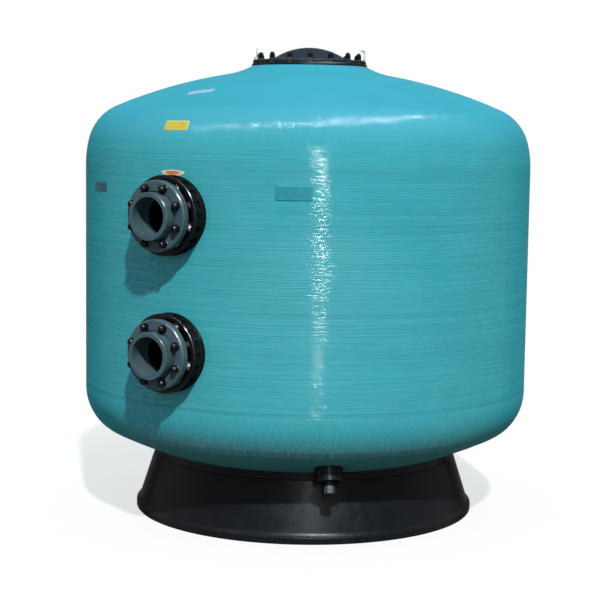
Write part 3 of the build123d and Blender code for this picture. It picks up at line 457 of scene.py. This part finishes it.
    # Relief under the clear coat: ridges of the tows, and a step at both ends of the hoops
    tow_relief = calc(tree, "MULTIPLY", tow_lines, strength)
    hoop_relief = calc(tree, "ADD", tow_relief, calc(tree, "MULTIPLY", strands, 1.5))
    fibre_relief = calc(tree, "MULTIPLY", crossed, 2.4)
    end_relief = calc(tree, "ADD", fibre_relief, calc(tree, "MULTIPLY", brushed, 5.0))
    relief = mix_values(tree, hoops, calc(tree, "MULTIPLY", end_relief, combed), hoop_relief)
    stepped = calc(tree, "ADD", relief, calc(tree, "MULTIPLY", hoops, 0.3))
    tree.links.new(bump(tree, stepped, skin_relief), shader.inputs["Normal"])

    # Relief of the coat: broad waves, short ridges along the hoops and fine ones along the fibres
    broad = bump(tree, noise(tree, position, 4.5, 1.0), coat_wave)
    dashes = long_strands(0.0045, 0.06, 1.0)
    fibres = calc(tree, "ADD", about_zero(tree, crossed, fibre_ridge), about_zero(tree, jagged, fibre_bump))
    fine = mix_values(tree, hoops, fibres, about_zero(tree, dashes, hoop_ridge))
    tree.links.new(bump(tree, fine, 1.0, broad), shader.inputs["Coat Normal"])

    # Gloss: a weak one on the skin, and a coat that sparkles in rows on the hoops and in points on the ends
    rough = remap(tree, noise(tree, position, 30.0, 4.0, 0.6), 0.3, 0.7, 0.5, 0.6)
    tree.links.new(rough, shader.inputs["Roughness"])
    share = facing_share(tree)
    tree.links.new(calc(tree, "MULTIPLY", share, skin_specular), shader.inputs["Specular IOR Level"])
    rows = remap(tree, long_strands(0.0032, 0.035, 2.0), 0.44, 0.6, 0.2, 2.6)
    sparks = remap(tree, glitter, 0.45, 0.62, 0.15, 3.0)
    glossy = calc(tree, "MULTIPLY", mix_values(tree, hoops, sparks, rows), coat_weight)
    tree.links.new(calc(tree, "MULTIPLY", share, glossy), shader.inputs["Coat Weight"])
    shader.inputs["Coat Roughness"].default_value = coat_roughness
    shader.inputs["Coat IOR"].default_value = coat_ior
    return material


def printed_field(name, colour, border, border_width=0.1, oval=False):
    """Printed film: a plain field with an edge band, slightly crinkled and faded in patches."""
    material, tree, shader = new_material(name)
    position = object_position(tree)
    u, v, _ = add_node(tree, "SeparateXYZ", {0: add_node(tree, "TexCoord").outputs["UV"]}).outputs
    edges = [calc(tree, "ABSOLUTE", calc(tree, "SUBTRACT", axis, 0.5)) for axis in (u, v)]
    across = calc(tree, "SUBTRACT", 0.5, edges[0])
    upward = calc(tree, "MULTIPLY", calc(tree, "SUBTRACT", 0.5, edges[1]), 0.4)
    inside = remap(tree, calc(tree, "MINIMUM", across, upward), border_width * 0.4, border_width * 0.5)
    if oval:
        reach = calc(tree, "SQRT", calc(tree, "ADD", *[calc(tree, "POWER", edge, 2.0) for edge in edges]))
        inside = remap(tree, reach, 0.5 - border_width, 0.46 - border_width)
    faded = remap(tree, noise(tree, position, 55.0, 4.0, 0.6), 0.3, 0.7, 0.86, 1.08)
    field = vector_calc(tree, "SCALE", colour[:3], scale=faded)
    tree.links.new(mix_colours(tree, inside, border, field), shader.inputs["Base Color"])
    shader.inputs["Specular IOR Level"].default_value = film_specular
    crinkle = noise(tree, position, 120.0, 3.0, 0.5)
    tree.links.new(bump(tree, crinkle, 0.0002), shader.inputs["Normal"])
    rough = remap(tree, crinkle, 0.3, 0.7, film_roughness_low, film_roughness_high)
    tree.links.new(rough, shader.inputs["Roughness"])
    return material


finishes = {
    "black_gloss": moulded_plastic(
        "black_gloss",
        rgb(0.0066, 0.0076, 0.0096),
        gloss=(0.28, 0.42),
        dust=0.02,
        wear_and_edge_light=0.1,
        wave=0.0003,
        specular=0.045,
    ),
    "black_plastic": moulded_plastic(
        "black_plastic", rgb(0.006, 0.0068, 0.0075), gloss=(0.2, 0.34), dust=0.01, wear_and_edge_light=0.12, specular=0.08
    ),
    "nut_black": moulded_plastic(
        "nut_black", rgb(0.0045, 0.005, 0.0055), gloss=(0.22, 0.3), dust=0.0, wear_and_edge_light=0.05, specular=0.07
    ),
    "lid_black": moulded_plastic(
        "lid_black", rgb(0.015, 0.027, 0.041), gloss=(0.3, 0.42), dust=0.02, wear_and_edge_light=0.1, specular=0.06
    ),
    "grey_plastic": moulded_plastic(
        "grey_plastic", rgb(0.056, 0.1, 0.12), gloss=(0.22, 0.34), dust=0.02, wear_and_edge_light=0.2, specular=0.07
    ),
    "drain_grey": moulded_plastic(
        "drain_grey", rgb(0.05, 0.06, 0.066), gloss=(0.24, 0.38), dust=0.0, specular=0.05
    ),
    "pale_plastic": moulded_plastic(
        "pale_plastic", rgb(0.62, 0.63, 0.6), gloss=(0.35, 0.5), worn_lit_colour=rgb(0.7, 0.7, 0.68)
    ),
    "rubber": moulded_plastic("rubber", rgb(0.014, 0.014, 0.014), gloss=(0.6, 0.8), specular=0.3),
    "steel": brushed_steel("steel", rgb(0.5, 0.52, 0.54)),
    "dark_steel": brushed_steel("dark_steel", rgb(0.035, 0.037, 0.04)),
    "turquoise_laminate": wound_laminate(),
}
paints = {
    "pale_rose": printed_field("pale_rose", rgb(0.32, 0.4, 0.58), rgb(0.28, 0.46, 0.62)),
    "yellow": printed_field("yellow", rgb(0.54, 0.41, 0.045), rgb(0.56, 0.55, 0.2)),
    "orange": printed_field("orange", rgb(0.62, 0.2, 0.05), rgb(0.7, 0.6, 0.46), 0.17, oval=True),
    "dark_teal": printed_field("dark_teal", rgb(0.028, 0.275, 0.325), rgb(0.034, 0.31, 0.365)),
    "slate": printed_field("slate", rgb(0.012, 0.095, 0.12), rgb(0.012, 0.11, 0.14)),
}

slots = {part["node"]: part["material_slot"] for part in frame["record"]["subparts"]}
slots.update({name: "dark_steel" for name in ("upper_washers", "lower_washers", "lid_washers")})
slots.update({name: "nut_black" for name in ("upper_cap_nuts", "lower_cap_nuts", "lid_nuts")})
slots["drain_plug"] = "drain_grey"
for name, node in nodes.items():
    node.data.materials.clear()
    node.data.materials.append(finishes[slots[name]])


def add_object(name, data):
    """An object of the scene, from its mesh, lamp or lens."""
    made = bpy.data.objects.new(name, data)
    bpy.context.scene.collection.objects.link(made)
    return made


def at_height(z):
    """The point on the tank's axis at a height."""
    return Vector((0.0, 0.0, z))


def direction_from(azimuth, elevation):
    """Unit vector that points from the filter to a lamp or camera."""
    turn = math.radians(azimuth)
    rise = math.radians(elevation)
    return Vector((math.sin(turn) * math.cos(rise), -math.cos(turn) * math.cos(rise), math.sin(rise)))


def field_on_tank(name, azimuth, z, width, height, paint, tilt=0.0, oval=False):
    """A thin film with rounded corners, or an oval one, laid on the tank's skin."""
    tank = nodes["tank_crown" if z > side_top_z else "tank_side"]
    outward = direction_from(azimuth, 0.0)
    _, centre, normal, _ = tank.ray_cast(outward * field_start + at_height(z), -outward)
    right = at_height(1.0).cross(outward)
    up = normal.cross(right).normalized()
    spin = Matrix.Rotation(math.radians(tilt), 3, normal)
    right = spin @ right
    up = spin @ up
    half_width = width / 2
    half_height = height / 2
    mesh = bpy.data.meshes.new(name)
    bm = bmesh.new()
    uv_layer = bm.loops.layers.uv.new("field")
    grid = []
    for row in range(field_rows + 1):
        v = -half_height + height * row / field_rows
        into_corner = max(0.0, abs(v) - (half_height - field_corner))
        reach = half_width - field_corner + math.sqrt(max(0.0, field_corner**2 - into_corner**2))
        if oval:
            reach = half_width * math.sqrt(max(oval_end, 1 - (v / half_height) ** 2))
        line = []
        for column in range(field_columns + 1):
            u = reach * (2 * column / field_columns - 1)
            start = centre + right * u + up * v + normal * field_probe
            _, point, _, _ = tank.ray_cast(start, -normal)
            vertex = bm.verts.new(point + normal * field_thickness)
            line.append((vertex, (u / width + 0.5, v / height + 0.5)))
        grid.append(line)
    for lower, upper in zip(grid, grid[1:]):
        for a, b, c, d in zip(lower, lower[1:], upper[1:], upper):
            face = bm.faces.new([corner[0] for corner in (a, b, c, d)])
            face.smooth = True
            for loop, corner in zip(face.loops, (a, b, c, d)):
                loop[uv_layer].uv = corner[1]
    bm.to_mesh(mesh)
    bm.free()
    film = add_object(name, mesh)
    film.data.materials.append(paints[paint])
    solid = film.modifiers.new("thickness", "SOLIDIFY")
    solid.thickness = field_thickness
    solid.offset = -1.0
    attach(film, body)


for field_name, place in fields.items():
    field_on_tank(field_name, **place)


def build_floor():
    """Pale floor. It takes the filter's shadow and runs out into the white behind it."""
    bm = bmesh.new()
    bmesh.ops.create_circle(bm, cap_ends=True, radius=floor_radius, segments=96)
    mesh = bpy.data.meshes.new("floor")
    bm.to_mesh(mesh)
    bm.free()
    floor = add_object("floor", mesh)
    material, tree, shader = new_material("floor")
    position = object_position(tree)
    seen = seen_directly(tree)
    mottle = remap(tree, noise(tree, position, 2.0, 4.0), 0.3, 0.7, 0.985, 1.0)
    shown = mix_colours(tree, seen, floor_bounce, floor_colour)
    tree.links.new(vector_calc(tree, "SCALE", shown, scale=mottle), shader.inputs["Base Color"])
    shader.inputs["Roughness"].default_value = 0.9
    shader.inputs["Specular IOR Level"].default_value = 0.0
    white = add_node(tree, "Emission", {"Color": rgb(1, 1, 1), "Strength": 1.0})
    distance = vector_calc(tree, "LENGTH", position, output="Value")
    fade = remap(tree, distance, floor_fade_start, floor_fade_end, floor_white_near, 1.0)
    glow = calc(tree, "MULTIPLY", fade, seen)
    blend = add_node(tree, "MixShader", {0: glow, 1: shader.outputs[0], 2: white.outputs[0]})
    tree.links.new(blend.outputs[0], tree.nodes["Material Output"].inputs["Surface"])
    floor.data.materials.append(material)


def build_sky():
    """Even sky light, shown white behind the filter."""
    world = bpy.data.worlds.new("studio")
    world.use_nodes = True
    bpy.context.scene.world = world
    tree = world.node_tree
    background = tree.nodes["Background"]
    seen = seen_directly(tree)
    tree.links.new(mix_colours(tree, seen, sky_tint, rgb(1, 1, 1)), background.inputs["Color"])
    tree.links.new(mix_values(tree, seen, sky_strength, 1.0), background.inputs["Strength"])


def add_sun():
    """The main light. The bars and glints below stand in for it in the gloss."""
    lamp = bpy.data.lights.new("key", "SUN")
    lamp.energy = sun_strength
    lamp.angle = math.radians(sun_angle)
    lamp.color = sun_colour
    key = add_object("key", lamp)
    toward = direction_from(sun_azimuth, sun_elevation)
    key.location = toward * sun_distance
    key.rotation_euler = toward.to_track_quat("Z", "Y").to_euler()
    key.visible_glossy = False


def only_in_gloss(lamp_object):
    """Keeps a lamp out of all but the reflections."""
    lamp_object.visible_diffuse = False
    lamp_object.visible_camera = False
    lamp_object.visible_transmission = False


def add_bar(name, start, end, toward, width, power):
    """Long narrow lamp between two points, which only the gloss of a surface shows."""
    lamp = bpy.data.lights.new(name, "AREA")
    lamp.shape = "RECTANGLE"
    lamp.size = (end - start).length
    lamp.size_y = width
    lamp.energy = power
    bar = add_object(name, lamp)
    middle = (start + end) / 2
    along = (end - start).normalized()
    across = (middle - toward).cross(along).normalized()
    turned = Matrix((along, across, along.cross(across))).transposed().to_4x4()
    bar.matrix_world = Matrix.Translation(middle) @ turned
    only_in_gloss(bar)


def add_bars():
    """An upright bar for the streak down the wall, and a bent one overhead for the shoulder's band."""
    out = direction_from(side_bar["azimuth"], 0.0) * side_bar["distance"]
    low = out + at_height(side_bar["low"])
    high = out + at_height(side_bar["high"])
    axis = at_height((side_bar["low"] + side_bar["high"]) / 2)
    add_bar("side_bar", low, high, axis, side_bar["width"], side_bar["power"])
    forward = direction_from(camera_azimuth, 0.0)
    sideways = direction_from(camera_azimuth + 90.0, 0.0)
    overhead = at_height(top_bar_z)
    corners = [forward * ahead + sideways * aside + overhead for ahead, aside in top_bar_corners]
    shoulder = forward * shoulder_reach + at_height(side_top_z)
    for number, (start, end) in enumerate(zip(corners, corners[1:])):
        power = top_bar_power * (end - start).length
        add_bar(f"top_bar_{number}", start, end, shoulder, top_bar_width, power)


def add_glint(name, azimuth, reach, z, radius, power, colour=(1.0, 1.0, 1.0)):
    """The sun's glint on one group of small pieces."""
    target = direction_from(azimuth, 0.0) * reach + at_height(z)
    toward = direction_from(sun_azimuth, sun_elevation)
    lamp = bpy.data.lights.new(name, "SPOT")
    lamp.energy = power
    lamp.color = colour
    lamp.spot_size = 2 * math.atan(radius / glint_distance)
    lamp.spot_blend = 0.3
    lamp.shadow_soft_size = glint_distance * math.tan(math.radians(sun_angle / 2))
    spot = add_object(name, lamp)
    spot.location = target + toward * glint_distance
    spot.rotation_euler = toward.to_track_quat("Z", "Y").to_euler()
    only_in_gloss(spot)


def add_camera():
    lens = bpy.data.cameras.new("camera")
    lens.lens = camera_lens
    lens.sensor_width = sensor_width
    lens.clip_end = 100.0
    camera = add_object("camera", lens)
    place = direction_from(camera_azimuth, 0.0) * camera_distance + at_height(camera_height)
    aim = (
        Matrix.Rotation(math.radians(camera_azimuth + camera_yaw), 4, "Z")
        @ Matrix.Rotation(math.radians(90 - camera_pitch), 4, "X")
        @ Matrix.Rotation(math.radians(camera_roll), 4, "Z")
    )
    camera.matrix_world = Matrix.Translation(place) @ aim
    bpy.context.scene.camera = camera


build_floor()
build_sky()
add_sun()
add_bars()
for glint_name, place in glints.items():
    add_glint(glint_name, **place)
add_camera()
bpy.context.scene.view_settings.view_transform = "Standard"
